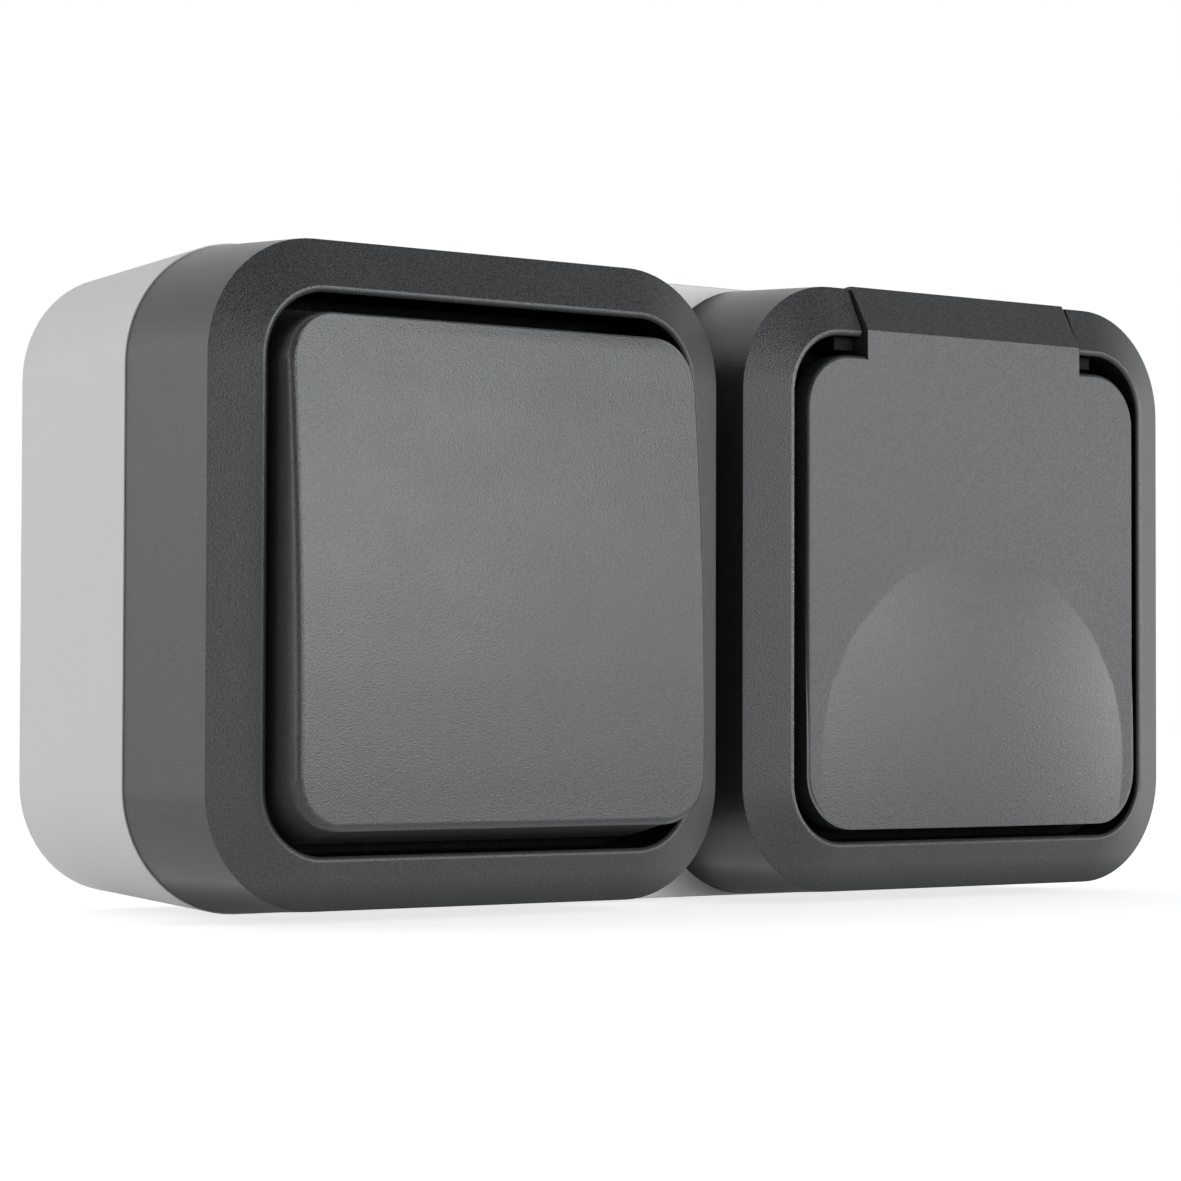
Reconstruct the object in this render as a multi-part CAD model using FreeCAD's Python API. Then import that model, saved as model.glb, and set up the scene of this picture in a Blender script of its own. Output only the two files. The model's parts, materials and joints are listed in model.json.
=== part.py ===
import FreeCAD, Part
import math
import os

V = FreeCAD.Vector
os.makedirs("parts", exist_ok=True)

# All sizes are in millimetres and degrees. The pieces are drawn lying on their backs:
# X to the right, Y up the wall, Z off the wall. Each one is stood up on the wall as it is saved.

# Housing, from the photo
cover_w = 71.2
cover_h = 75.0
cover_gap = 4.2
corner_r = 13.6
bevel_w = 6.27
bevel_rise = 3.07
cover_side = 16.4
cover_draft = 3.2
base_depth = 27.2
base_draft = 3.0
rim_step = 0.15

# Walls and fits
floor_t = 2.4
skirt_t = 1.9
inner_wall_t = 1.6
shoulder_in = 1.0
step_in = 0.5
collar_t = 1.4
collar_rise = 3.0
collar_gap = 0.2
seal_t = 1.4
shelf_t = 1.5
ledge_t = 2.4
lip_edge = 0.65
slip = 0.05
moving_gap = 0.35
nest_play = 0.4
over = 1.0

# Wall screws, cable entries and wire tunnel
wall_slot_inset = 7.0
wall_slot_r = 2.25
wall_slot_len = 8.0
entry_hole_r = 8.0
entry_pad_r = 10.4
entry_pad_sink = 1.25
entry_pad_play = 0.2
entry_web_t = 0.8
entry_rim_t = 0.55
entry_wall_t = 1.4
entry_flange = 1.3
entry_flange_t = 1.2
tunnel_w = 12.0
tunnel_h = 8.0
tunnel_rise = 5.0
web_wall = 2.2
web_end = 4.0
web_roof = 5.0

# Screws and their posts
insert_screw_r = 1.45
insert_head_r = 2.75
insert_head_h = 1.8
insert_screw_len = 10.0
cover_screw_r = 1.6
cover_head_r = 2.9
cover_head_h = 1.6
cover_screw_len = 10.4
cover_screw_x = 14.0
set_screw_r = 1.5
set_screw_len = 4.4
screw_play = 0.25
screw_proud = 0.6
post_r = 3.6
cover_post_r = 3.3
post_gap = 0.4
ear_t = 2.5
ear_half = 4.0
ear_y = 12.0
switch_ear_drop = 6.0
socket_ear_drop = 3.3

# Rocker, from the photo
rocker_side_gap = 0.88
rocker_end_gap = 2.55
rocker_corner_gap = 1.4
rocker_flare_side = 0.3
rocker_flare_end = 1.3
rocker_flare_drop = 2.9
rocker_proud = 4.16
rocker_face_r = 430.0
rocker_edge = 0.8
rocker_wall = 1.8
rocker_pivot_drop = 3.67
rocker_skirt_drop = 2.4
rocker_pin_r = 1.5
rocker_pin_bite = 0.5
rocker_tilt = 2.4
pivot_boss = 3.2
pivot_boss_t = 1.2
rib_y = 9.0
rib_t = 1.8
rib_w = 16.0
spine_t = 1.2
spine_h = 4.0

# Switch mechanism
switch_ledge_drop = 8.67
membrane_side = 7.33
membrane_end = 11.23
membrane_corner = 5.0
membrane_flange = 1.5
membrane_t = 0.8
membrane_sink = 2.0
membrane_sheet_t = 0.6
press_gap = 0.7
insert_w = 46.0
insert_gap = 0.9
insert_corner = 3.0
insert_z = 5.5
insert_top = 24.0
insert_floor_z = 8.2
chamber_w = 16.0
chamber_wall = 1.0
pocket_play = 0.8
groove_h = 2.2
actuator_z = 27.0
actuator_w = 20.0
actuator_h = 24.0
actuator_t = 3.0
pad_t = 2.0
pad_rise = 1.3
trunnion_r = 2.0
cheek_x = 12.0
cheek_t = 2.5
cheek_half = 4.0
cheek_rise = 3.0
stem_r = 3.8
stem_z = 19.0
stem_bore_r = 2.5
stem_roof = 0.5
plunger_r = 2.4
plunger_tip_r = 0.8
plunger_nose = 1.8
plunger_top = 22.0
plunger_gap = 0.3
plunger_coil_r = 1.9
plunger_wire = 0.6
plunger_turns = 3.0
coil_sides = 12
lever_z = 12.5
lever_t = 1.0
lever_gap = 2.8
lever_w = 6.8
lever_pin_r = 0.8
lever_play = 0.6
lever_cheek_t = 0.8
lever_cheek_rise = 1.8
lever_pin_short = 0.1
rivet_inset = 1.7
rivet_r = 1.5
rivet_h = 1.3
contact_gap = 0.3
contact_reach = 2.0
strip_t = 1.0
strip_w = 6.0
clamp_w = 7.0
clamp_l = 6.4
clamp_h = 8.0
clamp_inset = 0.6
wire_z = 3.0
wire_r = 1.5

# Socket, the well and pins by the standard for two-pin plugs with side earth clips
socket_ledge_drop = 6.47
plate_side_gap = 1.63
plate_end_gap = 3.5
plate_corner_gap = 1.33
plate_bearing = 1.9
plate_t = 2.0
well_r = 20.0
well_depth = 17.5
well_wall = 2.0
well_floor_t = 2.0
key_w = 5.0
key_h = 1.6
key_drop = 1.5
pin_pitch = 19.0
pin_hole_r = 2.75
sleeve_bore_r = 2.45
sleeve_wall = 0.85
sleeve_slit = 1.0
sleeve_root = 6.0
sleeve_drop = 0.7
live_strip_w = 5.0
clip_w = 5.6
clip_t = 0.8
clip_reach = 1.6
clip_bend = 4.4
clip_touch = 9.2
clip_rise = 13.8
clip_bulge = 1.2
clip_flare = 0.2
clip_room = 0.8
clip_side = 0.5
earth_t = 1.2
earth_w = 7.0
boss_r = 4.0
boss_h = 0.2
plate_screw_r = 1.5
plate_screw_len = 9.0
plate_head_r = 3.0
plate_head_h = 1.8
socket_body_w = 44.0
socket_body_h = 48.0
socket_body_corner = 5.0
socket_body_z = 3.4
socket_floor_t = 1.6
live_clamp_inset = 1.6
earth_clamp_inset = 5.6
earth_screw_sink = 0.2
lid_seal_w = 50.0
lid_seal_end = 3.85
lid_seal_corner = 9.0
lid_seal_t = 1.5
lid_seal_band = 2.2

# Lid and hinge, from the photo
lid_proud = 0.33
lid_t = 2.9
lid_side_gap = 1.29
lid_top_gap = 2.38
lid_low_gap = 1.48
lid_corner_gap = 0.53
lid_edge = 0.5
dome_inset = 8.45
dome_r = 26.0
dome_rise = 1.4
hinge_inset = 4.0
hinge_drop = 0.1
crease_inset = 5.4
tongue_proud_y = 0.3
tongue_proud_z = 0.15
tongue_inset = 17.2
tongue_gap = 0.4
tongue_root = 2.0
tongue_heel = 192.0
hinge_pin_r = 1.0
hinge_pin_short = 0.5
hinge_run = 0.06
hinge_bed_drop = 2.3
trough_wall = 1.2
lug_t = 3.2
lug_front = 3.9
lug_back = 2.5
lug_rise = 1.3
lug_cap = 0.4
spring_half = 4.0
spring_wire = 0.4
spring_turns = 3.0
spring_play = 0.2


def grow(line, d):
    return (line[0] + 2 * d, line[1] + 2 * d, line[2] + d)


def inset(line, side, end, corner):
    return (line[0] - 2 * side, line[1] - 2 * end, corner)


# Housing outlines, each a width, a height and a corner radius, and levels
gang_x = (cover_w + cover_gap) / 2
switch_x = -gang_x
socket_x = gang_x
shoulder_z = base_depth + cover_side
lip_z = shoulder_z + bevel_rise
front_line = (cover_w, cover_h, corner_r)
rear_line = grow(front_line, cover_side * math.tan(math.radians(cover_draft)))
opening_line = grow(front_line, -bevel_w)
inside_line = grow(front_line, -skirt_t)
collar_line = grow(inside_line, -collar_gap)
pocket_line = grow(collar_line, -collar_t)
rim_line = grow((rear_line[0] + 2 * gang_x, rear_line[1], rear_line[2]), rim_step)
back_line = grow(rim_line, -base_depth * math.tan(math.radians(base_draft)))
collar_top = base_depth + collar_rise
shelf_z = collar_top + seal_t
entry_z = base_depth / 2
entry_pad_y = (back_line[1] + rim_line[1]) / 4 - entry_pad_sink
wall_slot_x = gang_x + pocket_line[0] / 2 - wall_slot_inset
wall_slot_y = pocket_line[1] / 2 - wall_slot_inset

# Switch outlines and levels
rocker_line = inset(opening_line, rocker_side_gap, rocker_end_gap, opening_line[2] - rocker_corner_gap)
rocker_crown = lip_z + rocker_proud
rocker_pivot_z = lip_z - rocker_pivot_drop
rocker_skirt_z = rocker_pivot_z - rocker_skirt_drop
rocker_flare_z = rocker_crown - rocker_flare_drop
switch_ledge_z = lip_z - switch_ledge_drop
ledge_back = switch_ledge_z - ledge_t
membrane_line = inset(opening_line, membrane_side, membrane_end, membrane_corner)
membrane_sheet_z = switch_ledge_z - membrane_sink
rib_tip_z = membrane_sheet_z + membrane_sheet_t + press_gap
pad_top = membrane_sheet_z - press_gap
actuator_top = pad_top - pad_rise
stem_top = actuator_top - actuator_t - stem_roof
plunger_tip_z = lever_z + lever_t / 2 + plunger_gap
cover_screw_y = membrane_line[1] / 2 + membrane_flange + cover_head_r + nest_play
insert_line = (insert_w, 2 * (cover_screw_y - cover_post_r - insert_gap), insert_corner)
switch_ear_x = insert_w / 2 + post_r + post_gap
switch_post_top = insert_top - switch_ear_drop
clamp_out_x = insert_w / 2 - clamp_inset - clamp_l / 2
clamp_out_y = insert_line[1] / 2 - clamp_inset - clamp_l / 2
chamber_half = clamp_out_y - clamp_l / 2 - chamber_wall
lever_half = clamp_out_y - clamp_l / 2 - lever_gap
lever_cheek_out = lever_w / 2 + lever_play + lever_cheek_t
rivet_y = lever_half - rivet_inset
rivet_fall = lever_z - lever_t / 2 - rivet_h - insert_floor_z - strip_t - contact_gap
lever_tilt = math.degrees(math.asin(rivet_fall / rivet_y))

# Socket outlines and levels
socket_ledge_z = lip_z - socket_ledge_drop
plate_line = inset(opening_line, plate_side_gap, plate_end_gap, opening_line[2] - plate_corner_gap)
plate_front = socket_ledge_z + plate_t
well_floor = plate_front - well_depth
well_back = well_floor - well_floor_t
earth_top = well_back - boss_h
socket_body_top = earth_top - earth_t
socket_strip_z = socket_body_z + socket_floor_t
socket_ear_x = socket_body_w / 2 + post_r + post_gap
socket_post_top = socket_body_top - socket_ear_drop
live_clamp_x = socket_body_w / 2 - live_clamp_inset - clamp_l / 2
earth_clamp_y = socket_body_h / 2 - earth_clamp_inset - clamp_l / 2
earth_clamp_z = socket_body_top - clamp_h

# Lid and hinge places
lid_face_z = lip_z + lid_proud
lid_back_z = lid_face_z - lid_t
lid_top_y = opening_line[1] / 2 - lid_top_gap
lid_low_y = lid_low_gap - opening_line[1] / 2
lid_centre = (lid_top_y + lid_low_y) / 2
lid_line = (opening_line[0] - 2 * lid_side_gap, lid_top_y - lid_low_y, opening_line[2] - lid_corner_gap)
dome_y = lid_low_y + dome_inset
hinge_y = cover_h / 2 - hinge_inset
hinge_z = shoulder_z - hinge_drop
crease_y = cover_h / 2 - crease_inset
tongue_tip_y = cover_h / 2 + tongue_proud_y
tongue_tip_z = shoulder_z + tongue_proud_z
tongue_half = cover_w / 2 - tongue_inset
notch_half = tongue_half + tongue_gap
barrel_r = math.hypot(tongue_tip_y - hinge_y, tongue_tip_z - hinge_z)
trough_r = barrel_r + moving_gap
spring_inner = hinge_pin_r + 2 * slip
spring_room = spring_inner + spring_wire + spring_play


def ring(line, z, x=0.0, y=0.0):
    a = line[0] / 2 - line[2]
    b = line[1] / 2 - line[2]
    r = line[2]
    k = r * math.sqrt(0.5)
    arcs = []
    for i, (sx, sy) in enumerate([(1, 1), (-1, 1), (-1, -1), (1, -1)]):
        cx = x + sx * a
        cy = y + sy * b
        ends = [V(cx + sx * r, cy, z), V(cx, cy + sy * r, z)]
        if i % 2:
            ends.reverse()
        arcs.append((ends[0], V(cx + sx * k, cy + sy * k, z), ends[1]))
    edges = []
    for i, (first, middle, last) in enumerate(arcs):
        edges.append(Part.Arc(first, middle, last).toShape())
        edges.append(Part.makeLine(last, arcs[(i + 1) % 4][0]))
    return Part.Wire(edges)


def slab(line, z0, z1, x=0.0, y=0.0):
    return Part.Face(ring(line, z0, x, y)).extrude(V(0, 0, z1 - z0))


def prism(corners, sweep):
    return Part.Face(Part.makePolygon(corners + corners[:1])).extrude(sweep)


# Drafted block: two crossed trapezoids with a quarter cone in each corner
def taper(low, z0, high, z1, x=0.0, y=0.0):
    a = low[0] / 2 - low[2]
    b = low[1] / 2 - low[2]
    wide = [V(-a - low[2], -b, z0), V(a + low[2], -b, z0), V(a + high[2], -b, z1), V(-a - high[2], -b, z1)]
    tall = [V(-a, -b - low[2], z0), V(-a, b + low[2], z0), V(-a, b + high[2], z1), V(-a, -b - high[2], z1)]
    corners = []
    for i, (sx, sy) in enumerate([(1, 1), (-1, 1), (-1, -1), (1, -1)]):
        corner = Part.makeCone(low[2], high[2], z1 - z0, V(0, 0, z0), V(0, 0, 1), 90)
        corner.rotate(V(0, 0, 0), V(0, 0, 1), 90 * i)
        corner.translate(V(sx * a, sy * b, 0))
        corners.append(corner)
    body = fuse(prism(wide, V(0, 2 * b, 0)), prism(tall, V(2 * a, 0, 0)), *corners)
    body.translate(V(x, y, 0))
    return body


def pair(a, b):
    return (min(a, b), max(a, b))


def block(x0, x1, y0, y1, z0, z1):
    return Part.makeBox(x1 - x0, y1 - y0, z1 - z0, V(x0, y0, z0))


def post(r, z0, z1, x=0.0, y=0.0):
    return Part.makeCylinder(r, z1 - z0, V(x, y, z0))


def rod_x(r, x0, x1, y, z):
    return Part.makeCylinder(r, x1 - x0, V(x0, y, z), V(1, 0, 0))


def rod_y(r, x, y0, y1, z):
    return Part.makeCylinder(r, y1 - y0, V(x, y0, z), V(0, 1, 0))


def fuse(first, *others):
    return first.multiFuse(list(others)).removeSplitter()


def cut(first, *others):
    return first.cut(list(others))


def edges_at(shape, z):
    flat = []
    for edge in shape.Edges:
        box = edge.BoundBox
        if abs(box.ZMin - z) < slip and abs(box.ZMax - z) < slip:
            flat.append(edge)
    return flat


def turned(shape, z, degrees):
    moved = shape.copy()
    moved.rotate(V(0, 0, z), V(1, 0, 0), degrees)
    return moved


def shifted(shape, x):
    moved = shape.copy()
    moved.translate(V(x, 0, 0))
    return moved


def save(name, shape):
    stood = shape.copy()
    stood.rotate(V(0, 0, 0), V(1, 0, 0), 90)
    stood.exportStep("parts/" + name + ".step")


def pan_screw(x, y, seat, length, shank_r, head_r, head_h):
    return fuse(post(shank_r, seat - length, seat, x, y), post(head_r, seat, seat + head_h, x, y))


def set_screw(x, y, top):
    return post(set_screw_r, top - set_screw_len, top, x, y)


# Coil of square wire, lofted straight from section to section
def square_coil(inner, wire, z0, z1, turns):
    steps = int(turns * coil_sides)
    corners = [V(inner, 0, 0), V(inner + wire, 0, 0), V(inner + wire, 0, wire), V(inner, 0, wire)]
    sections = []
    for i in range(steps + 1):
        section = Part.makePolygon(corners + corners[:1])
        section.rotate(V(0, 0, 0), V(0, 0, 1), 360.0 * i / coil_sides)
        section.translate(V(0, 0, z0 + (z1 - z0 - wire) * i / steps))
        sections.append(section)
    return Part.makeLoft(sections, True, True)


# Base box with a pocket per gang, collars, posts, tunnel and cable entries
def insert_posts():
    return [
        (switch_x - switch_ear_x, -ear_y, switch_post_top),
        (switch_x + switch_ear_x, ear_y, switch_post_top),
        (socket_x - socket_ear_x, 0.0, socket_post_top),
        (socket_x + socket_ear_x, 0.0, socket_post_top),
    ]


def cover_posts():
    return [(switch_x - cover_screw_x, cover_screw_y), (switch_x + cover_screw_x, -cover_screw_y)]


def wall_slot(x, y):
    run = wall_slot_len / 2 - wall_slot_r
    top = floor_t + over
    ends = [post(wall_slot_r, -over, top, x + s * run, y) for s in (-1, 1)]
    return fuse(block(x - run, x + run, y - wall_slot_r, y + wall_slot_r, -over, top), *ends)


def base_hollows():
    web = gang_x - pocket_line[0] / 2
    inner = pocket_line[1] / 2
    tunnel_z = floor_t + tunnel_rise
    hollows = [block(-web - over, web + over, -tunnel_w / 2, tunnel_w / 2, tunnel_z, tunnel_z + tunnel_h)]
    for side in (-1, 1):
        x = side * gang_x
        hollows.append(slab(pocket_line, floor_t, collar_top + over, x))
        hollows.append(rod_y(entry_hole_r, x, -entry_pad_y - over, over - inner, entry_z))
        hollows.append(rod_y(entry_pad_r, x, -rim_line[1] / 2, -entry_pad_y, entry_z))
        run = pair(side * (tunnel_w / 2 + web_wall), side * (inner - web_end))
        hollows.append(block(web_wall - web, web - web_wall, *run, -over, base_depth - web_roof))
    return hollows


def make_base():
    collars = [slab(collar_line, base_depth - over, collar_top, x) for x in (switch_x, socket_x)]
    body = fuse(taper(back_line, 0, rim_line, base_depth), *collars)
    body = cut(body, *base_hollows())
    posts = []
    holes = []
    for x, y, top in insert_posts():
        posts.append(post(post_r, floor_t - over, top, x, y))
        holes.append(post(insert_screw_r + slip, top - insert_screw_len, top + over, x, y))
    for x, y in cover_posts():
        posts.append(post(cover_post_r, floor_t - over, ledge_back, x, y))
        holes.append(post(cover_screw_r + slip, ledge_back - cover_screw_len, ledge_back + over, x, y))
    for sx in (-1, 1):
        for sy in (-1, 1):
            holes.append(wall_slot(sx * wall_slot_x, sy * wall_slot_y))
    return cut(fuse(body, *posts), *holes)


def make_grommet(x):
    neck = entry_pad_y - pocket_line[1] / 2
    face_r = entry_pad_r - entry_pad_play
    neck_r = entry_hole_r - slip
    bore_r = entry_hole_r - entry_wall_t
    profile = [
        (0, -entry_rim_t),
        (face_r, -entry_rim_t),
        (face_r, 0),
        (neck_r, 0),
        (neck_r, neck),
        (entry_hole_r + entry_flange, neck),
        (entry_hole_r + entry_flange, neck + entry_flange_t),
        (bore_r, neck + entry_flange_t),
        (bore_r, entry_web_t),
        (0, entry_web_t),
    ]
    corners = [V(r, u - entry_pad_y, 0) for r, u in profile]
    half = Part.Face(Part.makePolygon(corners + corners[:1]))
    body = half.revolve(V(0, 0, 0), V(0, 1, 0), 360)
    body.translate(V(x, 0, entry_z))
    return body


def make_cover_seal(x):
    outer = slab(grow(collar_line, -slip), collar_top, shelf_z, x)
    return cut(outer, slab(pocket_line, collar_top - over, shelf_z + over, x))


# Cover frame shared by both gangs: drafted skirt, bevel, inner wall, ledge and sealing shelf
def cover_form(x):
    skirt = taper(rear_line, base_depth, front_line, shoulder_z, x)
    return fuse(skirt, taper(front_line, shoulder_z, opening_line, lip_z, x))


def make_cover(x, ledge_z, aperture):
    core_line = grow(opening_line, inner_wall_t)
    hollow = fuse(
        slab(inside_line, base_depth, shoulder_z - shoulder_in, x),
        slab(grow(core_line, skirt_t), base_depth, shoulder_z + step_in, x),
    )
    core = slab(core_line, ledge_z - ledge_t, lip_z + over, x)
    shelf_top = shelf_z + shelf_t
    eye = slab(pocket_line, shelf_z - over, shelf_top + over, x)
    shelf = cut(slab(rear_line, shelf_z, shelf_top, x), eye)
    shell = cut(cover_form(x), cut(hollow, core, shelf))
    mouth = slab(opening_line, ledge_z, lip_z + over, x)
    window = slab(aperture, ledge_z - ledge_t - over, ledge_z + over, x)
    shell = cut(shell, mouth, window)
    return shell.makeChamfer(lip_edge, edges_at(shell, lip_z))


def make_switch_cover():
    shell = make_cover(switch_x, switch_ledge_z, membrane_line)
    wall = opening_line[0] / 2
    boss_low = rocker_pivot_z - pivot_boss
    boss_high = rocker_pivot_z + pivot_boss - over
    bosses = []
    holes = []
    for side in (-1, 1):
        back = side * (wall + inner_wall_t)
        span = pair(switch_x + back - side * nest_play, switch_x + back + side * pivot_boss_t)
        bosses.append(block(*span, -pivot_boss, pivot_boss, boss_low, boss_high))
        depth = pair(switch_x + side * (wall - over), switch_x + back)
        holes.append(rod_x(rocker_pin_r + slip, *depth, 0, rocker_pivot_z))
    head_z = switch_ledge_z - cover_head_h
    for x, y in cover_posts():
        holes.append(post(cover_head_r + screw_play, head_z, switch_ledge_z + over, x, y))
        holes.append(post(cover_screw_r + screw_play, ledge_back - over, head_z, x, y))
    return cut(fuse(shell, *bosses), *holes)


def make_membrane():
    low = ledge_back - membrane_t
    high = switch_ledge_z + membrane_t
    flange = grow(membrane_line, membrane_flange)
    body = fuse(
        slab(flange, low, ledge_back, switch_x),
        slab(grow(membrane_line, -slip), low, high, switch_x),
        slab(flange, switch_ledge_z, high, switch_x),
    )
    a = membrane_line[0] / 2 - membrane_flange
    b = membrane_line[1] / 2 - membrane_flange
    below = block(switch_x - a, switch_x + a, -b, b, low - over, membrane_sheet_z)
    above = block(switch_x - a, switch_x + a, -b, b, membrane_sheet_z + membrane_sheet_t, high + over)
    return cut(body, below, above)


# Rocker: a convex flared cap on two side pins, with two ribs that press the see-saw below
def rocker_dome(r):
    return rod_x(r, -rocker_line[0], rocker_line[0], 0, rocker_crown - rocker_face_r)


def rocker_flare(line):
    wide = inset(line, -rocker_flare_side, -rocker_flare_end, line[2])
    return Part.makeLoft([ring(wide, rocker_skirt_z), ring(line, rocker_flare_z)], True, True)


def make_rocker():
    cap = slab(rocker_line, rocker_flare_z, rocker_crown + over).common(rocker_dome(rocker_face_r))
    front = max(cap.Faces, key=lambda face: face.CenterOfMass.z)
    cap = fuse(cap.makeChamfer(rocker_edge, front.Edges), rocker_flare(rocker_line))
    inner_line = grow(rocker_line, -rocker_wall)
    inner = slab(inner_line, rocker_flare_z, rocker_crown).common(rocker_dome(rocker_face_r - rocker_wall))
    cap = cut(cap, inner, rocker_flare(inner_line))
    roof = rocker_crown - rocker_wall
    knee = rib_tip_z + rib_t / 2
    half = rocker_line[0] / 2
    pieces = [block(-spine_t / 2, spine_t / 2, -rib_y, rib_y, roof - spine_h, roof)]
    for side in (-1, 1):
        y = side * rib_y
        pieces.append(block(-rib_w / 2, rib_w / 2, y - rib_t / 2, y + rib_t / 2, knee, roof))
        pieces.append(rod_x(rib_t / 2, -rib_w / 2, rib_w / 2, y, knee))
        pin = pair(side * (half - rocker_wall), side * (opening_line[0] / 2 + rocker_pin_bite))
        pieces.append(rod_x(rocker_pin_r, *pin, 0, rocker_pivot_z))
    return shifted(turned(fuse(cap, *pieces), rocker_pivot_z, -rocker_tilt), switch_x)


def make_actuator():
    a = actuator_w / 2
    b = actuator_h / 2
    pieces = [post(stem_r, stem_z, actuator_top - over)]
    for side in (-1, 1):
        y = side * rib_y
        pad = (y - pad_t / 2, y + pad_t / 2)
        pieces.append(block(-rib_w / 2, rib_w / 2, *pad, actuator_top - over, pad_top))
        reach = pair(side * (stem_r - over), side * (cheek_x + cheek_t))
        pieces.append(rod_x(trunnion_r, *reach, 0, actuator_z))
    body = fuse(block(-a, a, -b, b, actuator_top - actuator_t, actuator_top), *pieces)
    body = cut(body, post(stem_bore_r, stem_z - over, stem_top))
    return shifted(turned(body, actuator_z, -rocker_tilt), switch_x)


def make_plunger():
    nose = plunger_tip_z + plunger_nose
    tip = Part.makeCone(plunger_tip_r, plunger_r, plunger_nose, V(0, 0, plunger_tip_z))
    body = fuse(tip, post(plunger_r, nose, plunger_top))
    return shifted(turned(body, actuator_z, -rocker_tilt), switch_x)


def make_plunger_spring():
    coil = square_coil(plunger_coil_r - plunger_wire / 2, plunger_wire, plunger_top, stem_top, plunger_turns)
    return shifted(turned(coil, actuator_z, -rocker_tilt), switch_x)


def make_switch_insert():
    a = insert_w / 2
    b = insert_line[1] / 2
    top = insert_top + over
    pocket = clamp_w / 2 + pocket_play
    cuts = [
        block(-chamber_w / 2, chamber_w / 2, -chamber_half, chamber_half, insert_floor_z, top),
        block(chamber_w / 2 - over, a, -pocket, pocket, insert_floor_z, insert_floor_z + groove_h),
        block(cheek_x + cheek_t + pocket_play, a + over, -pocket, pocket, insert_floor_z, top),
    ]
    pieces = []
    holes = []
    for side in (-1, 1):
        run = pair(side * (chamber_half - over), side * (b + over))
        cuts.append(block(-pocket, pocket, *run, insert_floor_z, top))
        cheek = pair(side * cheek_x, side * (cheek_x + cheek_t))
        pieces.append(block(*cheek, -cheek_half, cheek_half, insert_top - over, actuator_z + cheek_rise))
        holes.append(rod_x(trunnion_r + slip, cheek[0] - over, cheek[1] + over, 0, actuator_z))
        ear = pair(side * (a - over), side * (switch_ear_x + post_r))
        y = side * ear_y
        pieces.append(block(*ear, y - ear_half, y + ear_half, switch_post_top, switch_post_top + ear_t))
        holes.append(ear_hole(side * switch_ear_x, y, switch_post_top))
    body = cut(slab(insert_line, insert_z, insert_top), *cuts)
    return shifted(cut(fuse(body, *pieces), *holes), switch_x)


def ear_hole(x, y, seat):
    return post(insert_screw_r + screw_play, seat - over, seat + ear_t + over, x, y)


# Terminals of the switch: strips with clamp blocks, and the changeover lever between them
def clamp(x, y, z, along_x):
    lx = clamp_l if along_x else clamp_w
    ly = clamp_w if along_x else clamp_l
    rx = lx if along_x else wire_r
    ry = wire_r if along_x else ly
    body = block(x - lx / 2, x + lx / 2, y - ly / 2, y + ly / 2, z, z + clamp_h)
    wire = block(x - rx, x + rx, y - ry, y + ry, z + wire_z - wire_r, z + wire_z + wire_r)
    return cut(body, wire, post(set_screw_r + slip, z + wire_z, z + clamp_h + over, x, y))


def make_common_terminal():
    z = insert_floor_z
    pieces = [clamp(clamp_out_x, 0, z, True)]
    holes = []
    for side in (-1, 1):
        cheek = pair(side * (lever_cheek_out - lever_cheek_t), side * lever_cheek_out)
        pieces.append(block(*cheek, -strip_w / 2, strip_w / 2, z, lever_z + lever_cheek_rise))
        holes.append(rod_x(lever_pin_r + slip, cheek[0] - slip, cheek[1] + slip, 0, lever_z))
    strip = block(-lever_cheek_out, clamp_out_x, -strip_w / 2, strip_w / 2, z, z + strip_t)
    return shifted(cut(fuse(strip, *pieces), *holes), switch_x)


def make_side_contact(side):
    z = insert_floor_z
    y = side * clamp_out_y
    strip = block(-strip_w / 2, strip_w / 2, *pair(side * (rivet_y - contact_reach), y), z, z + strip_t)
    return shifted(fuse(strip, clamp(0, y, z, False)), switch_x)


def make_contact_lever():
    low = lever_z - lever_t / 2
    reach = lever_cheek_out - lever_pin_short
    pieces = [rod_x(lever_pin_r, -reach, reach, 0, lever_z)]
    for side in (-1, 1):
        pieces.append(post(rivet_r, low - rivet_h, lever_z, 0, side * rivet_y))
    strip = block(-lever_w / 2, lever_w / 2, -lever_half, lever_half, low, low + lever_t)
    return shifted(turned(fuse(strip, *pieces), lever_z, lever_tilt), switch_x)


def make_switch_terminal_screws():
    top = insert_floor_z + clamp_h + screw_proud
    places = [(clamp_out_x, 0.0), (0.0, clamp_out_y), (0.0, -clamp_out_y)]
    return Part.makeCompound([set_screw(switch_x + x, y, top) for x, y in places])


def make_insert_screws(places):
    screws = []
    for x, y, top in places:
        seat = top + ear_t
        screws.append(pan_screw(x, y, seat, insert_screw_len, insert_screw_r, insert_head_r, insert_head_h))
    return Part.makeCompound(screws)


def make_cover_screws():
    seat = switch_ledge_z - cover_head_h
    screws = []
    for x, y in cover_posts():
        screws.append(pan_screw(x, y, seat, cover_screw_len, cover_screw_r, cover_head_r, cover_head_h))
    return Part.makeCompound(screws)


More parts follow.
